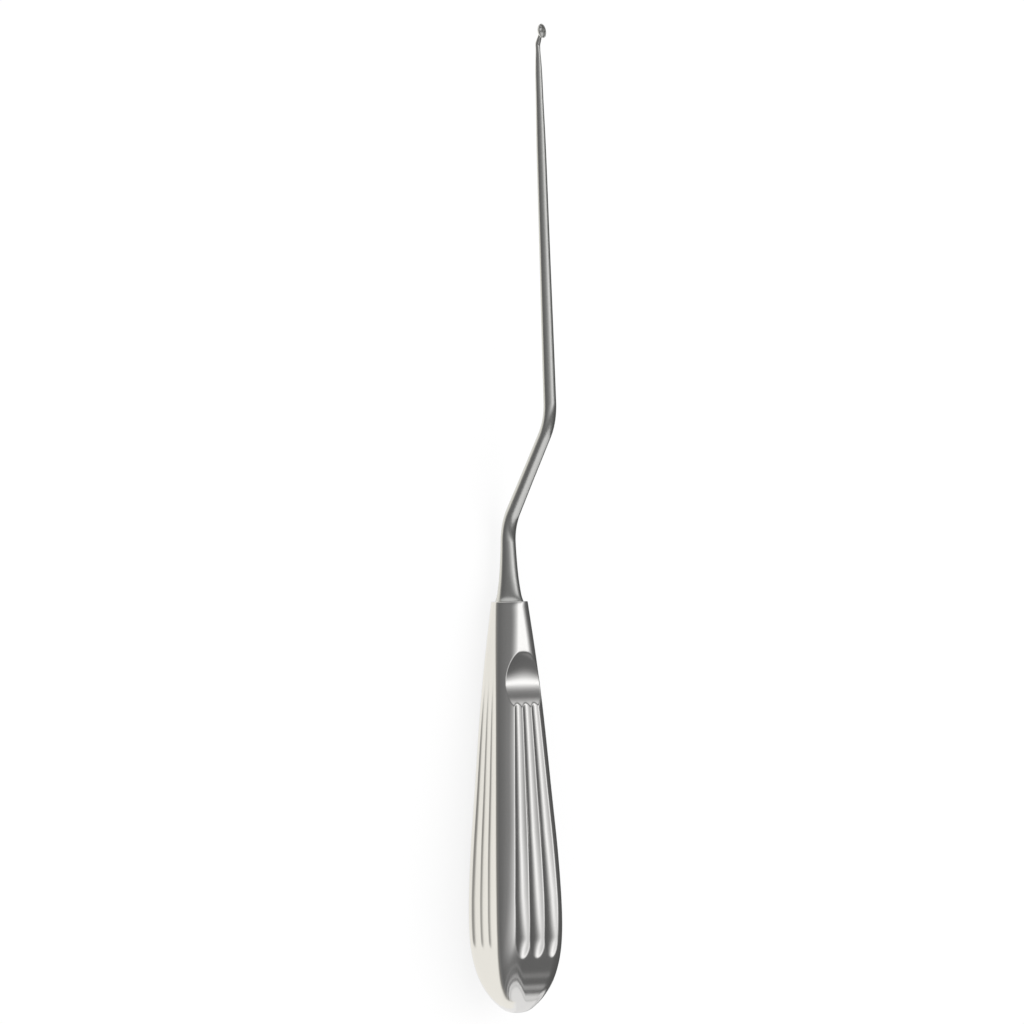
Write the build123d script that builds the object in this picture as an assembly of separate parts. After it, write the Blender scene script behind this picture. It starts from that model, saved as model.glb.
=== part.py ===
"""Bone curette with a hollow fluted handle and a bayonet shaft, in millimetres.

The instrument is drawn along +Y, from the butt of the handle to the cup at the tip,
with its thumb face up (+Z). It is then laid down as it rests on a table: on the back
face of the handle, which tips it nose down by the taper there.
"""
import os
from math import atan, cos, degrees, radians, sin, tan

from build123d import *

# Driving dimensions of the handle, measured from the collar towards the butt
HANDLE_LENGTH = 99.9
CORNER_RADIUS = 4.3
COLLAR_HALF = 4.4
STRAIGHT_FROM = 30.0
STRAIGHT_TO = 60.0
STRAIGHT_HALF = 6.99
STRAIGHT_RISE = 0.0617
# place along the handle, half width across the flats
HANDLE_OUTLINE = [
    (0.0, COLLAR_HALF),
    (10.0, 5.39),
    (20.0, 6.26),
    (STRAIGHT_FROM, STRAIGHT_HALF),
    (40.0, STRAIGHT_HALF + 10 * STRAIGHT_RISE),
    (50.0, STRAIGHT_HALF + 20 * STRAIGHT_RISE),
    (STRAIGHT_TO, STRAIGHT_HALF + 30 * STRAIGHT_RISE),
    (68.0, 9.2),
    (75.0, 9.39),
    (81.0, 9.33),
    (86.0, 8.94),
    (90.0, 8.23),
    (93.2, 7.28),
    (95.8, 6.08),
    (97.7, 4.84),
    (98.9, 3.62),
    (99.6, 2.34),
    (HANDLE_LENGTH, 0.9),
]

# Hollow of the handle and the bore that the tang is brazed into
WALL = 2.2
HOLLOW_START = 30.0
HOLLOW_END = 94.5
TANG_DIAMETER = 5.0
TANG_LENGTH = 14.0

# Flutes: three round-bottomed grooves side by side on each face, bolder on the thumb face
FLUTES_PER_FACE = 3
FLUTE_END = 84.6
FLUTE_STATIONS = [26.0, 40.0, 56.0, 72.0, FLUTE_END]
THUMB_FLUTE_START = 21.0
SIDE_FLUTE_START = 20.0
SIDE_FLUTE_SPREAD = 0.76
SIDE_FLUTE_DEPTH = 0.35
SIDE_FLUTE_LIFT = 1.4

# Thumb scoop: a crosswise hollow between two places along the thumb face
SCOOP_TOP = 12.3
SCOOP_FOOT = 24.9
SCOOP_DEPTH = 1.25
SCOOP_CROWN_RADIUS = 16.0

# Shaft, measured from the collar towards the tip
TIP = 139.5
NECK_FOOT_DIAMETER = 7.0
LOWER_BEND_AT = 18.6
UPPER_BEND_AT = 43.5
BAYONET_OFFSET = 18.8
OFFSET_AT_TIP = 16.4
BEND_RADIUS = 12.5
LOWER_BEND_DIAMETER = 3.6
UPPER_BEND_DIAMETER = 3.1
TIP_NECK_DIAMETER = 1.15
# distance along the working shaft from its upper bend, diameter
WORKING_TAPER = [(15.0, 2.95), (35.0, 2.65), (54.0, 2.42), (65.0, 2.2), (75.0, 1.82), (83.0, 1.4)]

# Cup: a spoon with its open side towards the thumb face and tilted a little forward
CUP_LENGTH = 3.6
CUP_WIDTH = 2.2
CUP_WALL = 0.25
CUP_RIM = 0.15
CUP_RISE = 2.0
CUP_TILT = 12.0
CUP_NECK_RISE = 0.9
CUP_NECK_RADIUS = 1.6
CUP_NECK_ANGLE = 30.0
CUP_OVERLAP = 1.0

# Rest: the handle lies on the straight run of its back face
REST_PITCH = degrees(atan(STRAIGHT_RISE))


def half_width(place):
    """Half width across the flats at a place along the handle, between outline points."""
    for (s0, h0), (s1, h1) in zip(HANDLE_OUTLINE, HANDLE_OUTLINE[1:]):
        if s0 <= place <= s1:
            return h0 + (h1 - h0) * (place - s0) / (s1 - s0)
    raise ValueError("the place is past the end of the handle")


def across(y, x=0.0, z=0.0):
    """A plane square to the instrument's length."""
    return Plane(origin=(x, y, z), x_dir=(1, 0, 0), z_dir=(0, 1, 0))


def rounded_square(place, inset=0.0):
    """The handle's section: round at the ends, square with round corners between."""
    half = half_width(place) - inset
    corner = min(CORNER_RADIUS - 0.6 * inset, 0.96 * half)
    return across(-place) * RectangleRounded(2 * half, 2 * half, corner)


def handle_body():
    """The outside of the handle, lofted through its sections."""
    return loft([rounded_square(place) for place, _ in HANDLE_OUTLINE])


def handle_hollow():
    """The space inside the handle, which opens into the tang's bore."""
    inner = [place for place, _ in HANDLE_OUTLINE if HOLLOW_START < place < HOLLOW_END]
    places = [HOLLOW_START] + inner + [HOLLOW_END]
    space = loft([rounded_square(place, WALL) for place in places])
    bore = across(-HOLLOW_START - 1) * Cylinder(
        TANG_DIAMETER / 2, HOLLOW_START + 2, align=(Align.CENTER, Align.CENTER, Align.MIN)
    )
    return space + bore


def flute_pitch(place):
    """The flutes fan out with the handle: their spacing grows towards the butt."""
    return 2.5 + 1.85 * min((place - 25.0) / 47.0, 1.0)


def flute_depth(place):
    """The flutes are shallow by the scoop and deeper where the handle is thick."""
    return 0.4 + 0.24 * min((place - 25.0) / 30.0, 1.0)


def flute_circle(place, number, face, lift=0.0):
    """Centre and radius of one flute's round cutter over the top face."""
    spread, depth_share = face
    width = flute_pitch(place) * spread
    depth = flute_depth(place) * depth_share
    radius = (width**2 / 4 + depth**2) / (2 * depth)
    height = half_width(place) - depth + radius + lift
    return Vector(number * width, -place, height), radius


def flute(number, start, face, start_lift):
    """One flute's cutters: a slender cone of circles and a ball at its lower end."""
    centre, radius = flute_circle(FLUTE_STATIONS[0], number, face, start_lift)
    rings = [(Vector(centre.X, -start, centre.Z - 0.4), radius)]
    rings += [flute_circle(place, number, face) for place in FLUTE_STATIONS]
    faces = [across(c.Y, c.X, c.Z) * Circle(r) for c, r in rings]
    end_centre, end_radius = rings[-1]
    return [loft(faces), Pos(*end_centre) * Sphere(end_radius)]


def flutes(start, face=(1.0, 1.0), start_lift=0.0):
    """The cutters for the flutes of one face, given its share of spread and depth."""
    middle = (FLUTES_PER_FACE - 1) / 2
    cutters = []
    for number in range(FLUTES_PER_FACE):
        cutters += flute(number - middle, start, face, start_lift)
    return cutters


def scoop():
    """The thumb scoop's cutter: a slightly barrelled roller lying across the thumb face."""
    top = Vector(0, -SCOOP_TOP, half_width(SCOOP_TOP))
    foot = Vector(0, -SCOOP_FOOT, half_width(SCOOP_FOOT))
    chord = foot - top
    radius = (chord.length**2 / 4 + SCOOP_DEPTH**2) / (2 * SCOOP_DEPTH)
    outward = Vector(0, chord.Z, -chord.Y).normalized()
    centre = (top + foot) / 2 + outward * (radius - SCOOP_DEPTH)
    end = 2 * COLLAR_HALF
    end_radius = radius - SCOOP_CROWN_RADIUS + (SCOOP_CROWN_RADIUS**2 - end**2) ** 0.5
    crown = ThreePointArc((-end, end_radius), (0, radius), (end, end_radius))
    rest = Polyline((end, end_radius), (end, 0), (-end, 0), (-end, end_radius))
    return Pos(*centre) * revolve(make_face(crown + rest), Axis.X)


def make_handle():
    """The hollow handle with its bore, flutes and thumb scoop."""
    cutters = flutes(THUMB_FLUTE_START)
    for turn in (90, 180, 270):
        side = flutes(SIDE_FLUTE_START, (SIDE_FLUTE_SPREAD, SIDE_FLUTE_DEPTH), SIDE_FLUTE_LIFT)
        cutters += [Rot(0, turn, 0) * cutter for cutter in side]
    body = handle_body() - handle_hollow()
    for cutter in cutters:
        body -= cutter
    return body - scoop()


def shaft_line():
    """Corner points of the shaft's centre line: both bends and the heel of the cup."""
    lower = Vector(0, LOWER_BEND_AT, 0)
    upper = Vector(0, UPPER_BEND_AT, BAYONET_OFFSET)
    heel = Vector(0, TIP - CUP_LENGTH / 2, OFFSET_AT_TIP)
    return lower, upper, heel


def neck():
    """Tang and flared neck, turned in one with the shaft."""
    start = LOWER_BEND_AT - bend_reach()
    flare = Spline(
        (NECK_FOOT_DIAMETER / 2, 0),
        (2.85, 3.4),
        (2.3, 8.0),
        (LOWER_BEND_DIAMETER / 2, start),
        tangents=[(-0.42, 1), (0, 1)],
    )
    outline = Polyline(
        (LOWER_BEND_DIAMETER / 2, start),
        (0, start),
        (0, -TANG_LENGTH),
        (TANG_DIAMETER / 2, -TANG_LENGTH),
        (TANG_DIAMETER / 2, 0),
        (NECK_FOOT_DIAMETER / 2, 0),
    )
    return revolve(make_face(flare + outline), Axis.Y)


def bend_angle():
    """The turn of the lower bend, in degrees."""
    lower, upper, _ = shaft_line()
    return Vector(0, 1, 0).get_angle(upper - lower)


def bend_reach():
    """How far the lower bend starts before its corner."""
    return BEND_RADIUS * tan(radians(bend_angle() / 2))


def bend(corner, before, after, diameter):
    """A round bend of constant thickness, between two straight runs."""
    turn = before.get_angle(after)
    reach = BEND_RADIUS * tan(radians(turn / 2))
    start = corner - before * reach
    end = corner + after * reach
    middle_way = (after - before).normalized()
    middle = corner + middle_way * (BEND_RADIUS / cos(radians(turn / 2)) - BEND_RADIUS)
    path = ThreePointArc(start, middle, end)
    ring = Plane(origin=start, x_dir=(1, 0, 0), z_dir=before) * Circle(diameter / 2)
    return sweep(ring, path), start, end


def turned(start, direction, outline):
    """A straight tapered run, turned about its own centre line."""
    points = [(r, d) for d, r in outline]
    edge = Spline(*points) if len(points) > 2 else Line(*points)
    first, last = points[0], points[-1]
    rest = Polyline(last, (0, last[1]), (0, first[1]), first)
    solid = revolve(make_face(edge + rest), Axis.Y)
    frame = Plane(origin=start, x_dir=(1, 0, 0), z_dir=direction)
    return frame * Rot(90, 0, 0) * solid


def egg(inset):
    """The cup's outer form, or its hollow where there is an inset."""
    long = CUP_LENGTH / 2 - inset
    wide = CUP_WIDTH / 2 - inset
    return scale(Sphere(1), (wide, long, wide))


def cup_frame(centre, direction):
    """The cup's own frame: its length along Y and its open side up."""
    return Plane(origin=centre, x_dir=(1, 0, 0), z_dir=Vector(0, -direction.Z, direction.Y))


def cup_outside():
    """The cup's outer form, cut level just above its middle to leave the rim."""
    level = (Align.CENTER, Align.CENTER, Align.MIN)
    above = Pos(0, 0, CUP_RIM) * Box(4 * CUP_WIDTH, 2 * CUP_LENGTH, 2 * CUP_WIDTH, align=level)
    return egg(0) - above


def tip_neck(start, working, out):
    """The thin neck behind the cup, stepped forward through two small bends."""
    angle = radians(CUP_NECK_ANGLE)
    slope = working * cos(angle) + out * sin(angle)
    step = CUP_NECK_RISE / sin(angle)
    run_in = 1.5 * CUP_NECK_RADIUS * tan(angle / 2)
    first = start + working * run_in
    second = first + slope * step
    line = FilletPolyline(start, first, second, second + working * run_in, radius=CUP_NECK_RADIUS)
    ring = Plane(origin=start, x_dir=(1, 0, 0), z_dir=working) * Circle(TIP_NECK_DIAMETER / 2)
    return sweep(ring, line), 2 * run_in + step * cos(angle)


def make_shaft():
    """Tang, neck, bayonet bends, tapered working shaft and cup, in one piece."""
    lower, upper, heel = shaft_line()
    slant = (upper - lower).normalized()
    working = (heel - upper).normalized()
    out = Vector(0, -working.Z, working.Y)
    lower_bend, _, lower_end = bend(lower, Vector(0, 1, 0), slant, LOWER_BEND_DIAMETER)
    upper_bend, upper_start, upper_end = bend(upper, slant, working, UPPER_BEND_DIAMETER)
    slant_length = (upper_start - lower_end).length
    slant_ends = [(0, LOWER_BEND_DIAMETER / 2), (slant_length, UPPER_BEND_DIAMETER / 2)]

    _, neck_reach = tip_neck(upper_end, working, out)
    straight = (heel - upper_end).length - CUP_LENGTH / 2 + CUP_OVERLAP - neck_reach
    taper = [(0, UPPER_BEND_DIAMETER / 2)]
    taper += [(place, diameter / 2) for place, diameter in WORKING_TAPER]
    taper += [(straight, TIP_NECK_DIAMETER / 2)]
    tip, _ = tip_neck(upper_end + working * straight, working, out)

    facing = working * cos(radians(CUP_TILT)) - out * sin(radians(CUP_TILT))
    cup_place = cup_frame(heel + out * CUP_RISE, facing)
    whole = neck()
    for piece in (lower_bend, turned(lower_end, slant, slant_ends), upper_bend):
        whole += piece
    for piece in (turned(upper_end, working, taper), tip, cup_place * cup_outside()):
        whole += piece
    return whole - cup_place * egg(CUP_WALL)


def laid_down(shape):
    """Tip the instrument nose down and set it on the table."""
    return Rot(-REST_PITCH, 0, 0) * shape


def main():
    """Make both pieces, lay them down and centre them over the origin."""
    os.makedirs("parts", exist_ok=True)
    pieces = {"handle": laid_down(make_handle()), "shaft": laid_down(make_shaft())}
    boxes = [shape.bounding_box() for shape in pieces.values()]
    back = min(box.min.Y for box in boxes)
    front = max(box.max.Y for box in boxes)
    floor = min(box.min.Z for box in boxes)
    for name, shape in pieces.items():
        solid = Pos(0, -(back + front) / 2, -floor) * shape.solid()
        export_step(solid, f"parts/{name}.step")


if __name__ == "__main__":
    main()
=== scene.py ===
"""Bone curette lying on a pale table: satin steel handle, darker bayonet shaft, cutting cup.

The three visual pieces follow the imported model's sizes and stand for its two nodes. Lengths in
this file are millimetres, apart from the settings, which are metres.
"""

from math import asin, atan, atan2, cos, degrees, pi, radians, sin, tan

import bmesh
import bpy
import numpy as np
from mathutils import Matrix, Vector


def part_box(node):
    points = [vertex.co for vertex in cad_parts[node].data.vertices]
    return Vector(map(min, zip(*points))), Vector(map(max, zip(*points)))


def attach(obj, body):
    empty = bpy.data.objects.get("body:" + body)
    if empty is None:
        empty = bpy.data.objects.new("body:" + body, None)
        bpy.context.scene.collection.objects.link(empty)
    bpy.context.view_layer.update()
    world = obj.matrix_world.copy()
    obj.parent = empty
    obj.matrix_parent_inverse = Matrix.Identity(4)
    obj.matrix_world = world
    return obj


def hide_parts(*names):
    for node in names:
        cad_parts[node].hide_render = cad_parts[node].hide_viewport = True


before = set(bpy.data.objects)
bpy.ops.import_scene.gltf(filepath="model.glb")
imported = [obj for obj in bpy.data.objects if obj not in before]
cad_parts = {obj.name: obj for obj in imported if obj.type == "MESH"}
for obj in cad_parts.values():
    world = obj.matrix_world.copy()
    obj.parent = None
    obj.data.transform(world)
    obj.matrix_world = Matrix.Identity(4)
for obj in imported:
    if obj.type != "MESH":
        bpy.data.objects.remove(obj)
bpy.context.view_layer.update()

bl_info = {
    "name": "Bone Curette",
    "version": (1, 0, 0),
    "blender": (4, 5, 0),
    "location": "View3D > Sidebar > Curette",
    "description": "Builds a fluted bone curette, its steel finishes and a plain studio stage",
    "category": "Add Mesh",
}

MM = 0.001
ROOT = "root"

# Handle, from the collar towards the butt: place, half width across the flats
STRAIGHT_HALF = 6.99
STRAIGHT_RISE = 0.0617
HANDLE_OUTLINE = [
    (0.0, 4.4), (10.0, 5.39), (20.0, 6.26), (30.0, STRAIGHT_HALF),
    (40.0, STRAIGHT_HALF + 10 * STRAIGHT_RISE), (50.0, STRAIGHT_HALF + 20 * STRAIGHT_RISE),
    (60.0, STRAIGHT_HALF + 30 * STRAIGHT_RISE), (68.0, 9.2), (75.0, 9.39), (81.0, 9.33),
    (86.0, 8.94), (90.0, 8.23), (93.2, 7.28), (95.8, 6.08), (97.7, 4.84), (98.9, 3.62),
    (99.6, 2.34), (99.9, 0.9), (99.97, 0.02),
]
CORNER_RADIUS = 4.3
CORNER_BLEND = 0.25
COLLAR_EDGE = 0.18
COLLAR_DEPTH = 1.0
HANDLE_RINGS = 282
NECK_FOOT_RADIUS = 3.5

# Rest of the instrument: on the straight run of the handle's back face, so nose down
REST_PITCH = atan(STRAIGHT_RISE)
LENGTHWISE = Vector((0.0, cos(REST_PITCH), -sin(REST_PITCH)))
THUMB_UP = Vector((0.0, sin(REST_PITCH), cos(REST_PITCH)))

# Flutes and thumb scoop: the lifts raise a flute's floor by the square of the way past its place
FLUTE_SHALLOW = 0.4
FLUTE_GAIN = 0.24
RUN_OUT_FROM = 81.6
RUN_OUT_LIFT = 0.0267
START_LIFT = 0.0004
THUMB_START = 10.0
SIDE_START = 34.0
THUMB_CLOSED_ABOVE = 20.0
SIDE_FLUTE_SPREAD = 0.76
SIDE_FLUTE_DEPTH = 0.28
FLUTE_EDGE_SOFTNESS = 0.07
SCOOP_EDGE_SOFTNESS = 0.05
FAR_ABOVE = 99.0
SCOOP_TOP = 12.3
SCOOP_FOOT = 25.7
SCOOP_DEPTH = 1.25
SCOOP_CROWN_RADIUS = 16.0
SCOOP_CROWN_FADE = (20.5, 8.0)

# Shaft, from the collar towards the tip
TIP = 139.5
LOWER_BEND_AT = 18.6
UPPER_BEND_AT = 43.5
BAYONET_OFFSET = 18.8
OFFSET_AT_TIP = 16.4
BEND_RADIUS = 12.5

# Cup
CUP_LENGTH = 3.6
CUP_WIDTH = 2.2
CUP_WALL = 0.25
CUP_RIM = 0.15
CUP_RISE = 2.0
CUP_TILT = radians(12.0)
CUP_NECK_RISE = 0.9
CUP_NECK_RADIUS = 1.6
CUP_NECK_ANGLE = radians(30.0)
CUP_OVERLAP = 1.0
CUP_LIP_HEIGHT = 0.03

# Camera: how far the thumb face is turned from it, its lean, and what its frame covers
FACE_TURN = radians(35.0)
IMAGE_LEAN = radians(1.09)
FRAME_WIDTH = 248.8
AIM_ALONG = 21.75
AIM_ASIDE = 1.09
CAMERA_DISTANCE = 2400.0
SENSOR_WIDTH = 36.0

# Steel: how far its cloudiness goes either way, and the height of its grain in metres
DARKEST = 0.93
LIGHTEST = 1.06
GRAIN_HEIGHT = 0.00001

# Light that the steel shows, by the angle round the instrument or along it, in degrees
ROOM_STRENGTH = 1.2
BOX_SLANT = 2.6
WALL_SHADES = [
    (-180, 0.87), (-140, 0.85), (-133, 0.4), (-126, 0.2), (-107, 0.13), (-71, 0.16), (-48, 0.17),
    (0, 0.14), (60, 0.1), (110, 0.08), (140, 0.07), (150, 0.82), (180, 0.82),
]
BOX_SHADES = [
    (-90, 0.0), (-55, 0.04), (-40, 0.14), (-25, 0.3), (-8, 0.5), (2, 0.7), (11, 0.9), (19, 0.86),
    (27, 0.55), (35, 0.35), (46, 0.14), (60, 0.02), (90, 0.0),
]
STRIP_SHADES = [
    (-30, 0.0), (-22, 0.1), (-14, 0.35), (-8, 0.6), (-2, 0.9), (4, 1.0), (11, 1.2), (15, 0.7),
    (20, 0.25), (28, 0.1), (45, 0.0),
]
BAND_SHADES = [
    (-90, 0.75), (-55, 0.75), (-52, 0.5), (-49.5, 0.62), (-45, 0.7), (-42.5, 0.1), (-40.5, 0.1),
    (-38.5, 0.38), (-35.5, 0.38), (-33, 0.02), (-29, 0.02), (-26.5, 0.25), (-24.5, 0.2), (-22.5, 0.0),
]
FAR_WALL_SHADES = [(25, 0.0), (34, 0.62), (90, 0.62)]
# The bands sink on the left and rise on the far right, and below one angle reach all the way round
LEFT_DROP = 0.2
RIGHT_LIFT = 0.35
RIGHT_FROM = radians(60.0)
BANDS_ALL_ROUND = radians(-43.0)
WINDOW_SHADES = [(-170, 1.0), (40, 1.0), (80, 0.2), (110, 0.1), (125, 0.6), (140, 1.0)]
# The table and the wall on the left are a little warmer than the rest
WARM_SIDE = (1.0, 0.98, 0.92, 1.0)
WARM_BELOW = radians(-120.0)
# Share of plain white in the table as the camera sees it, which leaves a faint shadow
WHITE_SHARE = 0.8


class HandleSettings(bpy.types.PropertyGroup):
    """Sizes and finish of the handle."""

    flute_depth: bpy.props.FloatProperty(
        name="Flute depth", description="Depth of the thumb flutes where they are deepest",
        default=(FLUTE_SHALLOW + FLUTE_GAIN) * MM, subtype="DISTANCE", unit="LENGTH")
    steel: bpy.props.FloatVectorProperty(
        name="Steel", description="Colour of the satin handle steel",
        default=(0.78, 0.772, 0.76), size=3, subtype="COLOR")
    roughness: bpy.props.FloatProperty(
        name="Roughness", description="How satin the handle is", default=0.13, min=0.0, max=1.0)


class ShaftSettings(bpy.types.PropertyGroup):
    """Sizes and finish of the shaft."""

    working_diameter: bpy.props.FloatProperty(
        name="Working diameter", description="Thickness of the working shaft above its bends",
        default=0.0031, subtype="DISTANCE", unit="LENGTH")
    steel: bpy.props.FloatVectorProperty(
        name="Steel", description="Colour of the shaft steel",
        default=(0.64, 0.64, 0.625), size=3, subtype="COLOR")
    roughness: bpy.props.FloatProperty(
        name="Roughness", description="How satin the shaft is", default=0.22, min=0.0, max=1.0)


class StageSettings(bpy.types.PropertyGroup):
    """Light and floor."""

    table: bpy.props.FloatVectorProperty(
        name="Table", description="Colour of the table top",
        default=(0.9, 0.9, 0.9), size=3, subtype="COLOR")
    key_watts: bpy.props.FloatProperty(
        name="Key light", description="Power of the soft lamp over the table", default=3.0,
        min=0.0, unit="POWER")


def smooth_min(a, b, softness):
    """The lower of two heights, with the edge between them rounded over."""
    return 0.5 * (a + b - np.sqrt((a - b) ** 2 + softness**2))


def bench_point(across, along, up):
    """A point of the instrument, given square to its handle, in the table's axes."""
    return Vector((across, 0.0, 0.0)) + LENGTHWISE * along + THUMB_UP * up


def to_table(points):
    """Points of the instrument in its own axes, turned nose down."""
    turn = np.array([[1, 0, 0], list(LENGTHWISE), list(THUMB_UP)])
    return points @ turn


def natural_spline(knots, values, at):
    """A smooth curve through the values, by the usual natural cubic spline."""
    n = len(knots)
    step = np.diff(knots)
    system = np.eye(n)
    right = np.zeros(n)
    for i in range(1, n - 1):
        system[i, i - 1:i + 2] = step[i - 1], 2 * (step[i - 1] + step[i]), step[i]
        rise = (values[i + 1] - values[i]) / step[i] - (values[i] - values[i - 1]) / step[i - 1]
        right[i] = 6 * rise
    bend = np.linalg.solve(system, right)
    i = np.clip(np.searchsorted(knots, at) - 1, 0, n - 2)
    a = (knots[i + 1] - at) / step[i]
    b = 1 - a
    curve = ((a**3 - a) * bend[i] + (b**3 - b) * bend[i + 1]) * step[i] ** 2 / 6
    return a * values[i] + b * values[i + 1] + curve


def handle_rows():
    """Places and half widths down the handle, close together where the form is fine."""
    outline = np.array(HANDLE_OUTLINE)
    chord = np.r_[0, np.cumsum(np.hypot(*np.diff(outline, axis=0).T))]
    fine = np.linspace(0, chord[-1], 6000)
    place = natural_spline(chord, outline[:, 0], fine)
    half = np.maximum(natural_spline(chord, outline[:, 1], fine), 0.01)
    density = 1.0 + 4.0 * np.exp(-(((place - 18.6) / 6.5) ** 8))
    density += 2.2 * np.exp(-(((place - 86.0) / 3.2) ** 4)) + 1.2 * (place > 96.0)
    share = np.cumsum(density)
    picks = np.interp(np.linspace(share[0], share[-1], HANDLE_RINGS), share, fine)
    return np.interp(picks, fine, place), np.interp(picks, fine, half)


def flute_pitch(place):
    """Spacing of the flutes, which fan out towards the butt."""
    return 2.5 + 1.85 * np.minimum((place - 25.0) / 47.0, 1.0)


def flute_floor(place, half, across, middle, pitch, depth_scale, start):
    """Height of one flute's floor over the handle's middle, very high away from it."""
    gain = np.clip((place - 25.0) / 30.0, -0.5, 1.0)
    depth = (FLUTE_SHALLOW + FLUTE_GAIN * gain) * depth_scale
    radius = (pitch**2 / 4 + depth**2) / (2 * depth)
    run_out = np.maximum(place - RUN_OUT_FROM, 0.0)
    lift = np.maximum(start - place, 0.0) ** 2 * START_LIFT + run_out**2 * RUN_OUT_LIFT
    inside = radius**2 - (across - middle) ** 2
    dome = np.where(inside > 0, np.sqrt(np.maximum(inside, 0)), inside * 0.5)
    return half - depth + radius - dome + lift


def scoop_floor(place, across):
    """Height of the thumb scoop's round floor, a little crowned near its top."""
    outline = np.array(HANDLE_OUTLINE)
    top = np.interp(SCOOP_TOP, outline[:, 0], outline[:, 1])
    foot = np.interp(SCOOP_FOOT, outline[:, 0], outline[:, 1])
    chord = np.hypot(SCOOP_FOOT - SCOOP_TOP, foot - top)
    radius = (chord**2 / 4 + SCOOP_DEPTH**2) / (2 * SCOOP_DEPTH)
    slope = atan2(foot - top, SCOOP_FOOT - SCOOP_TOP)
    middle = (SCOOP_TOP + SCOOP_FOOT) / 2 - sin(slope) * (radius - SCOOP_DEPTH)
    height = (top + foot) / 2 + cos(slope) * (radius - SCOOP_DEPTH)
    flat_from, length = SCOOP_CROWN_FADE
    fade = np.clip((flat_from - place) / length, 0.0, 1.0) ** 2
    crown = across**2 / (2 * SCOOP_CROWN_RADIUS) * fade
    inside = (radius - crown) ** 2 - (place - middle) ** 2
    return np.where(inside > 0, height - np.sqrt(np.maximum(inside, 0)), FAR_ABOVE)


def face_columns():
    """Shares round one face: up to 1 over the flutes, from 1 to 2 round half a corner."""
    over = np.linspace(-1, 1, 49)
    corner = 1 + np.linspace(0, 1, 15)[1:]
    return np.concatenate([-corner[::-1][1:], over, corner])


def handle_face(place, half, shares, thumb, depth_scale):
    """Across and up coordinates of one face of the handle."""
    corner = smooth_min(np.full_like(half, CORNER_RADIUS), 0.96 * half, CORNER_BLEND)
    flat = half - corner
    pitch = flute_pitch(place) * (1.0 if thumb else SIDE_FLUTE_SPREAD)
    zone = 1.5 * pitch
    whole = flat + corner * pi / 4
    past = np.clip((zone - flat) / corner, 0.0, 0.69)
    edge = np.where(zone < flat, zone, flat + corner * np.arcsin(past))
    edge = np.minimum(edge, 0.86 * whole)
    size = np.abs(shares)
    reach = np.where(size <= 1, size * edge, edge + (size - 1) * (whole - edge))
    turn = np.maximum(reach - flat, 0.0) / corner
    across = np.where(reach <= flat, reach, flat + corner * np.sin(turn)) * np.sign(shares)
    up = np.where(reach <= flat, half, flat + corner * np.cos(turn))
    start = THUMB_START if thumb else SIDE_START
    if not thumb:
        depth_scale = depth_scale * SIDE_FLUTE_DEPTH
    for number in (-1, 0, 1):
        floor = flute_floor(place, half, across, number * pitch, pitch, depth_scale, start)
        if thumb:
            floor = floor + np.maximum(THUMB_CLOSED_ABOVE - place, 0.0) ** 2
        up = smooth_min(up, floor, FLUTE_EDGE_SOFTNESS)
    if thumb:
        up = smooth_min(up, scoop_floor(place, across), SCOOP_EDGE_SOFTNESS)
    return across, up


def handle_mesh(depth_scale):
    """The handle's skin as a grid, closed at the butt and at the collar's shoulder."""
    place, half = handle_rows()
    place = place[:, None]
    half = half[:, None]
    shares = face_columns()[None, :]
    rings = []
    for quarter in range(4):
        across, up = handle_face(place, half, shares, quarter == 0, depth_scale)
        turn = quarter * pi / 2
        x = across * cos(turn) + up * sin(turn)
        z = up * cos(turn) - across * sin(turn)
        rings.append(np.stack([x, np.broadcast_to(-place, x.shape), z], axis=-1))
    skin = np.concatenate(rings, axis=1)
    first = skin[0]
    radius = np.hypot(first[:, 0], first[:, 2])
    unit = first / radius[:, None]
    unit[:, 1] = 0
    shoulder = []
    for share in (1.0, 0.6, 0.25):
        ring = first.copy()
        ring[:, 1] = COLLAR_EDGE * (1 - share)
        ring -= unit * COLLAR_EDGE * (1 - np.sqrt(1 - (1 - share) ** 2))
        shoulder.append(ring)
    lid = unit * (radius[:, None] - COLLAR_EDGE)
    lid[:, 1] = COLLAR_EDGE
    inner = unit * (NECK_FOOT_RADIUS - 0.05)
    inner[:, 1] = COLLAR_EDGE
    deep = inner.copy()
    deep[:, 1] = -COLLAR_DEPTH
    top = np.stack([deep, inner, lid] + shoulder[::-1][:-1], axis=0)
    top[:, :, 1] -= COLLAR_EDGE
    skin[0, :, 1] = -COLLAR_EDGE
    return np.concatenate([top, skin], axis=0)


def grid_piece(name, grid):
    """A mesh object from rows of points, joined round each row and closed at its ends."""
    rows, columns = grid.shape[:2]
    points = to_table(grid.reshape(-1, 3)) * MM
    faces = []
    for row in range(rows - 1):
        here = row * columns
        below = here + columns
        for column in range(columns):
            beside = (column + 1) % columns
            faces.append((here + column, here + beside, below + beside, below + column))
    faces.append(tuple(range(columns - 1, -1, -1)))
    faces.append(tuple(range((rows - 1) * columns, rows * columns)))
    mesh = bpy.data.meshes.new(name)
    mesh.from_pydata([tuple(p) for p in points], [], faces)
    mesh.update()
    mesh.polygons.foreach_set("use_smooth", [True] * len(mesh.polygons))
    piece = bpy.data.objects.new(name, mesh)
    bpy.context.scene.collection.objects.link(piece)
    return piece


def face_outwards(piece):
    """Turn the faces so that the normals point out."""
    work = bmesh.new()
    work.from_mesh(piece.data)
    bmesh.ops.recalc_face_normals(work, faces=work.faces)
    work.to_mesh(piece.data)
    work.free()
    piece.data.polygons.foreach_set("use_smooth", [True] * len(piece.data.polygons))


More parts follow.
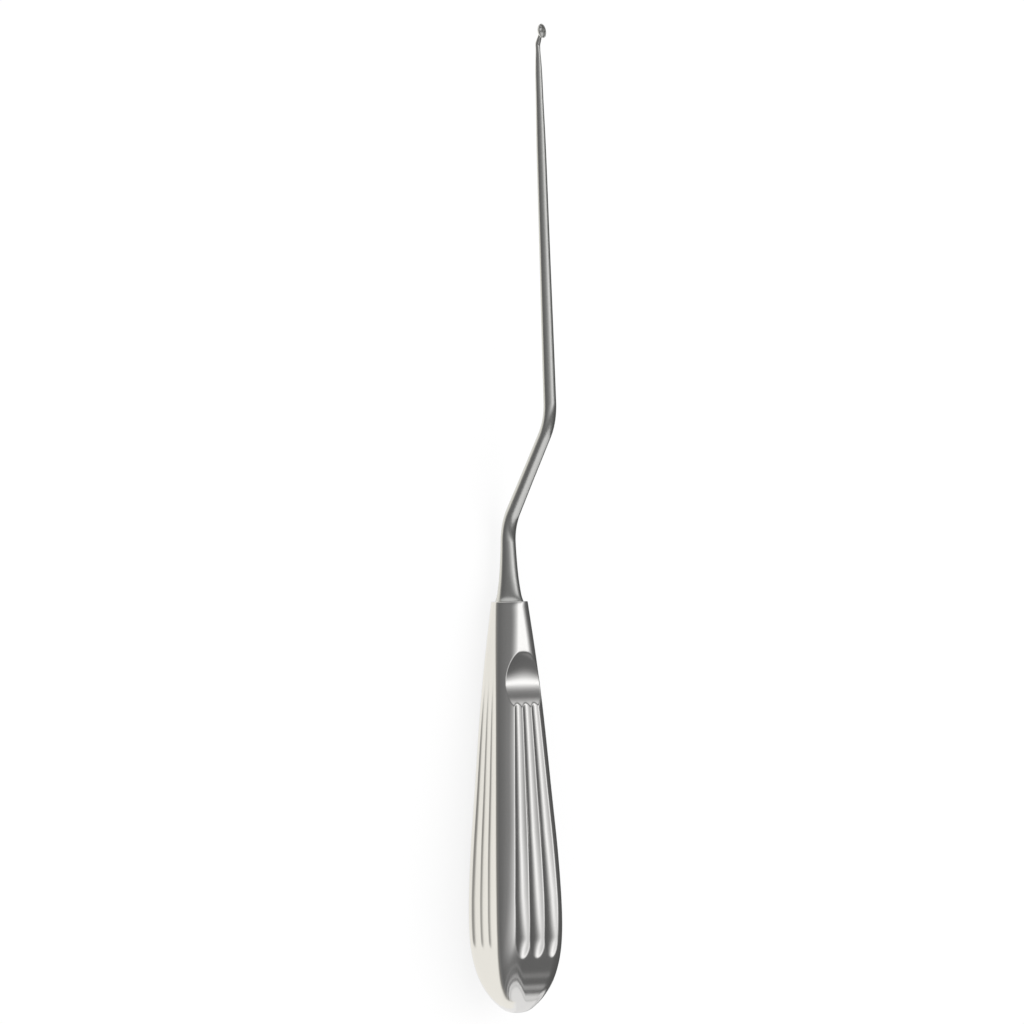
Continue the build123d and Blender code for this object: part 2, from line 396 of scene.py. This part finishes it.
def arc(start, direction, side, turn, radius, steps):
    """Points of a round bend that leaves along a direction and turns towards a side."""
    points = []
    for share in np.linspace(0, 1, steps)[1:]:
        angle = turn * share
        points.append(start + direction * radius * sin(angle) + side * radius * (1 - cos(angle)))
    return points


def flat_vector(along, up):
    """A direction or point in the instrument's plane of symmetry."""
    return Vector((0.0, along, up))


def quarter_turn(direction):
    """The direction turned a quarter towards the thumb face."""
    return Vector((0.0, -direction.z, direction.y))


def shaft_centre_line():
    """Points of the shaft's centre line, and where its working run, small neck and cup begin."""
    lower = flat_vector(LOWER_BEND_AT, 0)
    upper = flat_vector(UPPER_BEND_AT, BAYONET_OFFSET)
    heel = flat_vector(TIP - CUP_LENGTH / 2, OFFSET_AT_TIP)
    ahead = flat_vector(1, 0)
    slant = (upper - lower).normalized()
    working = (heel - upper).normalized()
    lower_turn = ahead.angle(slant)
    upper_turn = slant.angle(working)
    lower_reach = BEND_RADIUS * tan(lower_turn / 2)
    upper_reach = BEND_RADIUS * tan(upper_turn / 2)
    points = [flat_vector(-1.0, 0)]
    points += [flat_vector(a, 0) for a in np.linspace(0, LOWER_BEND_AT - lower_reach, 60)]
    points += arc(points[-1], ahead, quarter_turn(ahead), lower_turn, BEND_RADIUS, 40)
    end = upper - slant * upper_reach
    start = points[-1]
    points += [start.lerp(end, share) for share in np.linspace(0, 1, 12)[1:]]
    points += arc(end, slant, -quarter_turn(slant), upper_turn, BEND_RADIUS, 44)
    upper_end = points[-1]
    out = quarter_turn(working)
    bend_in = 1.5 * CUP_NECK_RADIUS * tan(CUP_NECK_ANGLE / 2)
    step = CUP_NECK_RISE / sin(CUP_NECK_ANGLE)
    reach = 2 * bend_in + step * cos(CUP_NECK_ANGLE)
    straight = (heel - upper_end).length - CUP_LENGTH / 2 + CUP_OVERLAP - reach
    points += [upper_end + working * straight * share for share in np.linspace(0, 1, 110)[1:]]
    neck_start = points[-1]
    slope = working * cos(CUP_NECK_ANGLE) + out * sin(CUP_NECK_ANGLE)
    tangent = CUP_NECK_RADIUS * tan(CUP_NECK_ANGLE / 2)
    first = neck_start + working * bend_in
    second = first + slope * step
    points.append(first - working * tangent)
    points += arc(points[-1], working, out, CUP_NECK_ANGLE, CUP_NECK_RADIUS, 9)
    points.append(second - slope * tangent)
    points += arc(points[-1], slope, -quarter_turn(slope), CUP_NECK_ANGLE, CUP_NECK_RADIUS, 9)
    points.append(second + working * bend_in)
    return points, upper_end, neck_start, heel, working


def shaft_radii(points, upper_end, neck_start, working_radius):
    """The shaft's radius at each point of its centre line."""
    run = np.r_[0, np.cumsum([(b - a).length for a, b in zip(points, points[1:])])] - 1.0
    upper_run = run[min(range(len(points)), key=lambda i: (points[i] - upper_end).length)]
    neck_run = run[min(range(len(points)), key=lambda i: (points[i] - neck_start).length)]
    knots = [(0.0, NECK_FOOT_RADIUS), (0.8, 3.2), (1.8, 2.96), (3.4, 2.7), (5.2, 2.46), (8.0, 2.2)]
    knots += [(10.5, 2.03), (13.5, 1.88), (17.0, 1.81), (21.0, 1.78), (30.0, 1.68)]
    knots += [(upper_run - 10.0, 1.6), (upper_run, working_radius), (upper_run + 15.0, 1.475)]
    knots += [(upper_run + 35.0, 1.325), (upper_run + 54.0, 1.21), (upper_run + 65.0, 1.1)]
    knots += [(upper_run + 75.0, 0.91), (upper_run + 83.0, 0.7), (neck_run, 0.575)]
    knots += [(run[-1] - 1.2, 0.575), (run[-1], 0.3)]
    x, y = np.array(knots).T
    return natural_spline(x, y, np.maximum(run, 0))


def shaft_mesh(working_radius):
    """Rings of points along the shaft."""
    points, upper_end, neck_start, heel, working = shaft_centre_line()
    radii = shaft_radii(points, upper_end, neck_start, working_radius)
    turns = np.linspace(0, 2 * pi, 49)[:-1]
    rows = []
    for i, point in enumerate(points):
        before = points[max(i - 1, 0)]
        after = points[min(i + 1, len(points) - 1)]
        out = quarter_turn((after - before).normalized())
        ring = [Vector((radii[i] * sin(t), 0, 0)) + out * radii[i] * cos(t) + point for t in turns]
        rows.append([tuple(p) for p in ring])
    return np.array(rows), heel, working


def cup_mesh(heel, working):
    """Rows of points over the cup: up its outside, over the rim and down its hollow."""
    centre = heel + quarter_turn(working) * CUP_RISE
    facing = working * cos(CUP_TILT) - quarter_turn(working) * sin(CUP_TILT)
    out = quarter_turn(facing)
    turns = np.linspace(0, 2 * pi, 65)[:-1]
    long, wide = CUP_LENGTH / 2, CUP_WIDTH / 2
    rows = []

    def ring(level, a, b):
        row = [centre + facing * b * cos(t) + out * level + Vector((a * sin(t), 0, 0)) for t in turns]
        rows.append([tuple(p) for p in row])

    def shell(angle, inset):
        deep = wide - inset
        level = deep * sin(radians(angle))
        share = np.sqrt(max(1 - (level / deep) ** 2, 0.0))
        ring(level, deep * share, (long - inset) * share)

    for angle in np.linspace(-88, degrees(asin(CUP_RIM / wide)) - 3, 26):
        shell(angle, 0.0)
    rim_share = np.sqrt(1 - (CUP_RIM / wide) ** 2)
    for lip in np.linspace(0, 1, 6):
        inset = CUP_WALL * (0.12 + 0.76 * lip)
        level = CUP_RIM + CUP_LIP_HEIGHT * sin(pi * lip)
        ring(level, wide * rim_share - inset, long * rim_share - inset)
    for angle in np.linspace(6, -88, 22):
        shell(angle, CUP_WALL)
    return np.array(rows)


def group(name, inputs, outputs):
    """An empty shader node group with named sockets, and its two end nodes."""
    tree = bpy.data.node_groups.new(name, "ShaderNodeTree")
    for label, kind, value in inputs:
        socket = tree.interface.new_socket(name=label, in_out="INPUT", socket_type=kind)
        if value is not None:
            socket.default_value = value
    for label, kind in outputs:
        tree.interface.new_socket(name=label, in_out="OUTPUT", socket_type=kind)
    return tree, tree.nodes.new("NodeGroupInput"), tree.nodes.new("NodeGroupOutput")


def maths(tree, operation, first, second=None, third=None):
    """A maths node fed by sockets or plain numbers."""
    node = tree.nodes.new("ShaderNodeMath")
    node.operation = operation
    for socket, value in zip(node.inputs, (first, second, third)):
        if value is None:
            continue
        if isinstance(value, (int, float)):
            socket.default_value = value
        else:
            tree.links.new(value, socket)
    return node.outputs[0]


def noise(tree, coordinates, scale, detail, stretch):
    """A noise pattern in metres, stretched along the given axes."""
    mapping = tree.nodes.new("ShaderNodeMapping")
    mapping.inputs["Scale"].default_value = stretch
    tree.links.new(coordinates, mapping.inputs["Vector"])
    node = tree.nodes.new("ShaderNodeTexNoise")
    node.inputs["Scale"].default_value = scale
    node.inputs["Detail"].default_value = detail
    tree.links.new(mapping.outputs[0], node.inputs["Vector"])
    return node.outputs["Fac"]


def polishing_group():
    """Fine polishing lines and faint cloudiness, as heights and masks over the steel."""
    tree, entry, leave = group(
        "Polished steel grain",
        [("Line Depth", "NodeSocketFloat", 0.5), ("Cloud", "NodeSocketFloat", 0.5)],
        [("Height", "NodeSocketFloat"), ("Lines", "NodeSocketFloat"), ("Clouds", "NodeSocketFloat")],
    )
    place = tree.nodes.new("ShaderNodeTexCoord").outputs["Object"]
    lengthwise = noise(tree, place, 900.0, 3.0, (9.0, 0.35, 9.0))
    crosswise = noise(tree, place, 1400.0, 2.0, (0.8, 5.0, 0.8))
    cloudy = noise(tree, place, 60.0, 3.0, (1.0, 0.45, 1.0))
    both = maths(tree, "MULTIPLY_ADD", crosswise, 0.35, lengthwise)
    height = maths(tree, "MULTIPLY", both, entry.outputs["Line Depth"])
    clouds = maths(tree, "MULTIPLY", cloudy, entry.outputs["Cloud"])
    tree.links.new(height, leave.inputs["Height"])
    tree.links.new(lengthwise, leave.inputs["Lines"])
    tree.links.new(clouds, leave.inputs["Clouds"])
    return tree


def steel(name, colour, roughness, grain, depth, spread):
    """A satin steel with its own colour, roughness and strength of grain."""
    material = bpy.data.materials.new(name)
    material.use_nodes = True
    tree = material.node_tree
    shader = tree.nodes["Principled BSDF"]
    shader.inputs["Metallic"].default_value = 1.0
    lines = tree.nodes.new("ShaderNodeGroup")
    lines.node_tree = grain
    lines.inputs["Line Depth"].default_value = 1.0
    lines.inputs["Cloud"].default_value = 1.0
    tint = tree.nodes.new("ShaderNodeMix")
    tint.data_type = "RGBA"
    tint.inputs["A"].default_value = (*[c * DARKEST for c in colour], 1)
    tint.inputs["B"].default_value = (*[min(c * LIGHTEST, 1) for c in colour], 1)
    tree.links.new(lines.outputs["Clouds"], tint.inputs["Factor"])
    tree.links.new(tint.outputs["Result"], shader.inputs["Base Color"])
    rough = maths(tree, "MULTIPLY_ADD", lines.outputs["Lines"], spread, roughness - spread / 2)
    tree.links.new(rough, shader.inputs["Roughness"])
    bump = tree.nodes.new("ShaderNodeBump")
    bump.inputs["Strength"].default_value = depth
    bump.inputs["Distance"].default_value = GRAIN_HEIGHT
    tree.links.new(lines.outputs["Height"], bump.inputs["Height"])
    tree.links.new(bump.outputs["Normal"], shader.inputs["Normal"])
    return material


def shared_grain():
    """The grain group, made once and used by both steels."""
    return bpy.data.node_groups.get("Polished steel grain") or polishing_group()


def view_axes():
    """The camera's right, up and backward directions in the table's axes."""
    back = bench_point(-sin(FACE_TURN), 0, cos(FACE_TURN))
    right = bench_point(cos(FACE_TURN), 0, sin(FACE_TURN))
    up = LENGTHWISE * cos(IMAGE_LEAN) + right * sin(IMAGE_LEAN)
    aside = right * cos(IMAGE_LEAN) - LENGTHWISE * sin(IMAGE_LEAN)
    return aside, up, back


def instrument_shift():
    """Where the collar's centre lies in the frame: from the handle's packed box."""
    low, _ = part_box("handle")
    grid = to_table(handle_mesh(1.0).reshape(-1, 3)) * MM
    return Vector((0.0, low.y - grid[:, 1].min(), low.z - grid[:, 2].min()))


class CURETTE_OT_camera(bpy.types.Operator):
    """Place the camera at the photograph's angle over the instrument"""

    bl_idname = "curette.camera"
    bl_label = "Camera"

    def execute(self, context):
        right, up, back = view_axes()
        aim = bench_point(0, AIM_ALONG, 0) + right * AIM_ASIDE
        aim = aim * MM + instrument_shift()
        data = bpy.data.cameras.new("camera")
        data.sensor_width = SENSOR_WIDTH
        data.lens = SENSOR_WIDTH * CAMERA_DISTANCE / FRAME_WIDTH
        data.clip_end = 20.0
        camera = bpy.data.objects.new("camera", data)
        turn = Matrix((right, up, back)).transposed().to_4x4()
        camera.matrix_world = Matrix.Translation(aim + back * CAMERA_DISTANCE * MM) @ turn
        context.scene.collection.objects.link(camera)
        context.scene.camera = camera
        return {"FINISHED"}


class CURETTE_OT_handle(bpy.types.Operator):
    """Build the fluted handle with its thumb scoop"""

    bl_idname = "curette.handle"
    bl_label = "Handle"

    def execute(self, context):
        settings = context.scene.curette_handle
        depth_scale = settings.flute_depth / MM / (FLUTE_SHALLOW + FLUTE_GAIN)
        piece = grid_piece("fluted_handle", handle_mesh(depth_scale))
        face_outwards(piece)
        piece.data.transform(Matrix.Translation(instrument_shift()))
        finish = steel("handle steel", settings.steel, settings.roughness, shared_grain(), 0.35, 0.08)
        piece.data.materials.append(finish)
        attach(piece, ROOT)
        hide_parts("handle")
        return {"FINISHED"}


class CURETTE_OT_shaft(bpy.types.Operator):
    """Build the bayonet shaft and its cutting cup"""

    bl_idname = "curette.shaft"
    bl_label = "Shaft and cup"

    def execute(self, context):
        settings = context.scene.curette_shaft
        rings, heel, working = shaft_mesh(settings.working_diameter / MM / 2)
        rod = grid_piece("bayonet_shaft", rings)
        face_outwards(rod)
        head = grid_piece("cutting_cup", cup_mesh(heel, working))
        face_outwards(head)
        finish = steel("shaft steel", settings.steel, settings.roughness, shared_grain(), 0.5, 0.1)
        for piece in (rod, head):
            piece.data.transform(Matrix.Translation(instrument_shift()))
            piece.data.materials.append(finish)
            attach(piece, ROOT)
        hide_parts("shaft")
        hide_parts("shaft")
        return {"FINISHED"}


class CURETTE_OT_stage(bpy.types.Operator):
    """Lay the pale table and set the studio light"""

    bl_idname = "curette.stage"
    bl_label = "Table and light"

    def execute(self, context):
        settings = context.scene.curette_stage
        mesh = bpy.data.meshes.new("table_top")
        size = 3.0
        corners = [(-size, -size, 0), (size, -size, 0), (size, size, 0), (-size, size, 0)]
        mesh.from_pydata(corners, [], [(0, 1, 2, 3)])
        table = bpy.data.objects.new("table_top", mesh)
        context.scene.collection.objects.link(table)
        mesh.materials.append(table_material(settings.table))
        table.visible_glossy = False
        context.scene.world = studio_world()
        key_lamp(context, settings.key_watts)
        return {"FINISHED"}


def table_material(colour):
    """A pale matt table that reads white where nothing shades it."""
    material = bpy.data.materials.new("pale table")
    material.use_nodes = True
    tree = material.node_tree
    shader = tree.nodes["Principled BSDF"]
    shader.inputs["Base Color"].default_value = (*colour, 1)
    shader.inputs["Roughness"].default_value = 0.9
    shader.inputs["Specular IOR Level"].default_value = 0.0
    white = tree.nodes.new("ShaderNodeEmission")
    path = tree.nodes.new("ShaderNodeLightPath")
    seen = maths(tree, "MULTIPLY", path.outputs["Is Camera Ray"], WHITE_SHARE)
    mix = tree.nodes.new("ShaderNodeMixShader")
    tree.links.new(seen, mix.inputs[0])
    tree.links.new(shader.outputs[0], mix.inputs[1])
    tree.links.new(white.outputs[0], mix.inputs[2])
    tree.links.new(mix.outputs[0], tree.nodes["Material Output"].inputs["Surface"])
    return material


def studio_world():
    """Plain soft light all round, and for the steel a dim room with pale table and soft boxes."""
    world = bpy.data.worlds.new("studio")
    world.use_nodes = True
    tree = world.node_tree
    tree.nodes.clear()
    leave = tree.nodes.new("ShaderNodeOutputWorld")
    plain = tree.nodes.new("ShaderNodeBackground")
    plain.inputs["Color"].default_value = (1, 1, 1, 1)
    plain.inputs["Strength"].default_value = 1.0
    room = tree.nodes.new("ShaderNodeBackground")
    direction = tree.nodes.new("ShaderNodeTexCoord").outputs["Generated"]
    level = tree.nodes.new("ShaderNodeVectorRotate")
    level.rotation_type = "X_AXIS"
    level.inputs["Angle"].default_value = REST_PITCH
    tree.links.new(direction, level.inputs["Vector"])
    split = tree.nodes.new("ShaderNodeSeparateXYZ")
    tree.links.new(level.outputs[0], split.inputs[0])
    x, y, z = split.outputs
    turn = maths(tree, "ARCTAN2", x, z)
    rise = maths(tree, "ARCSINE", y)
    slanted = maths(tree, "MULTIPLY_ADD", rise, -BOX_SLANT, turn)
    walls = shade_by_angle(tree, turn, WALL_SHADES, 360)
    box = shade_by_angle(tree, slanted, BOX_SHADES, 360)
    strip = shade_by_angle(tree, rise, STRIP_SHADES, 180)
    bent = maths(tree, "MULTIPLY_ADD", maths(tree, "MINIMUM", turn, 0.0), -LEFT_DROP, rise)
    past = maths(tree, "MAXIMUM", maths(tree, "SUBTRACT", turn, RIGHT_FROM), 0.0)
    bent = maths(tree, "MULTIPLY_ADD", past, -RIGHT_LIFT, bent)
    bands = shade_by_angle(tree, bent, BAND_SHADES, 180)
    window = shade_by_angle(tree, turn, WINDOW_SHADES, 360)
    window = maths(tree, "MAXIMUM", window, maths(tree, "LESS_THAN", bent, BANDS_ALL_ROUND))
    lit = maths(tree, "MULTIPLY_ADD", box, strip, walls)
    lit = maths(tree, "MAXIMUM", maths(tree, "MULTIPLY", bands, window), lit)
    lit = maths(tree, "MAXIMUM", shade_by_angle(tree, rise, FAR_WALL_SHADES, 180), lit)
    tint = tree.nodes.new("ShaderNodeMix")
    tint.data_type = "RGBA"
    tint.inputs["A"].default_value = (1.0, 1.0, 1.0, 1.0)
    tint.inputs["B"].default_value = WARM_SIDE
    tree.links.new(maths(tree, "LESS_THAN", turn, WARM_BELOW), tint.inputs["Factor"])
    coloured = tree.nodes.new("ShaderNodeVectorMath")
    coloured.operation = "SCALE"
    tree.links.new(tint.outputs["Result"], coloured.inputs[0])
    tree.links.new(lit, coloured.inputs["Scale"])
    tree.links.new(coloured.outputs[0], room.inputs["Color"])
    room.inputs["Strength"].default_value = ROOM_STRENGTH
    path = tree.nodes.new("ShaderNodeLightPath")
    mix = tree.nodes.new("ShaderNodeMixShader")
    tree.links.new(path.outputs["Is Glossy Ray"], mix.inputs[0])
    tree.links.new(plain.outputs[0], mix.inputs[1])
    tree.links.new(room.outputs[0], mix.inputs[2])
    tree.links.new(mix.outputs[0], leave.inputs["Surface"])
    return world


def shade_by_angle(tree, angle, shades, span):
    """A grey level read off a list of angles, centred on a full or half turn."""
    share = maths(tree, "MULTIPLY_ADD", angle, degrees(1.0) / span, 0.5)
    ramp = tree.nodes.new("ShaderNodeValToRGB")
    tree.links.new(share, ramp.inputs[0])
    ramp_points(ramp.color_ramp, [(place / span + 0.5, shade) for place, shade in shades])
    return ramp.outputs[0]


def ramp_points(ramp, points):
    """Fill a colour ramp with grey shades."""
    while len(ramp.elements) < len(points):
        ramp.elements.new(0.5)
    for element, (position, shade) in zip(ramp.elements, points):
        element.position = position
        element.color = (shade, shade, shade, 1)


def key_lamp(context, watts):
    """One large soft lamp over the table."""
    data = bpy.data.lights.new("key", "AREA")
    data.energy = watts
    data.size = 0.9
    lamp = bpy.data.objects.new("key", data)
    lamp.location = (0.35, 0.1, 0.9)
    lamp.rotation_euler = (Vector((0, 0, 0)) - lamp.location).to_track_quat("-Z", "Y").to_euler()
    lamp.visible_glossy = False
    context.scene.collection.objects.link(lamp)


class CURETTE_PT_panel(bpy.types.Panel):
    """Sidebar panel that lists the pieces"""

    bl_idname = "CURETTE_PT_panel"
    bl_label = "Bone Curette"
    bl_space_type = "VIEW_3D"
    bl_region_type = "UI"
    bl_category = "Curette"

    def draw(self, context):
        layout = self.layout
        for settings in ("curette_handle", "curette_shaft", "curette_stage"):
            group_settings = getattr(context.scene, settings)
            for name in group_settings.__annotations__:
                layout.prop(group_settings, name)
        for operator in OPERATORS:
            layout.operator(operator.bl_idname)


SETTINGS = {
    "curette_handle": HandleSettings,
    "curette_shaft": ShaftSettings,
    "curette_stage": StageSettings,
}
OPERATORS = (CURETTE_OT_camera, CURETTE_OT_handle, CURETTE_OT_shaft, CURETTE_OT_stage)


def register():
    """Register the settings, the operators and the panel."""
    for name, settings in SETTINGS.items():
        bpy.utils.register_class(settings)
        setattr(bpy.types.Scene, name, bpy.props.PointerProperty(type=settings))
    for operator in OPERATORS:
        bpy.utils.register_class(operator)
    bpy.utils.register_class(CURETTE_PT_panel)


def unregister():
    """Take everything out again."""
    bpy.utils.unregister_class(CURETTE_PT_panel)
    for operator in reversed(OPERATORS):
        bpy.utils.unregister_class(operator)
    for name, settings in SETTINGS.items():
        delattr(bpy.types.Scene, name)
        bpy.utils.unregister_class(settings)


def main():
    """Build the whole scene."""
    register()
    bpy.context.scene.view_settings.view_transform = "Standard"
    bpy.ops.curette.camera()
    bpy.ops.curette.handle()
    bpy.ops.curette.shaft()
    bpy.ops.curette.stage()
    bpy.context.view_layer.update()


if __name__ == "__main__":
    main()
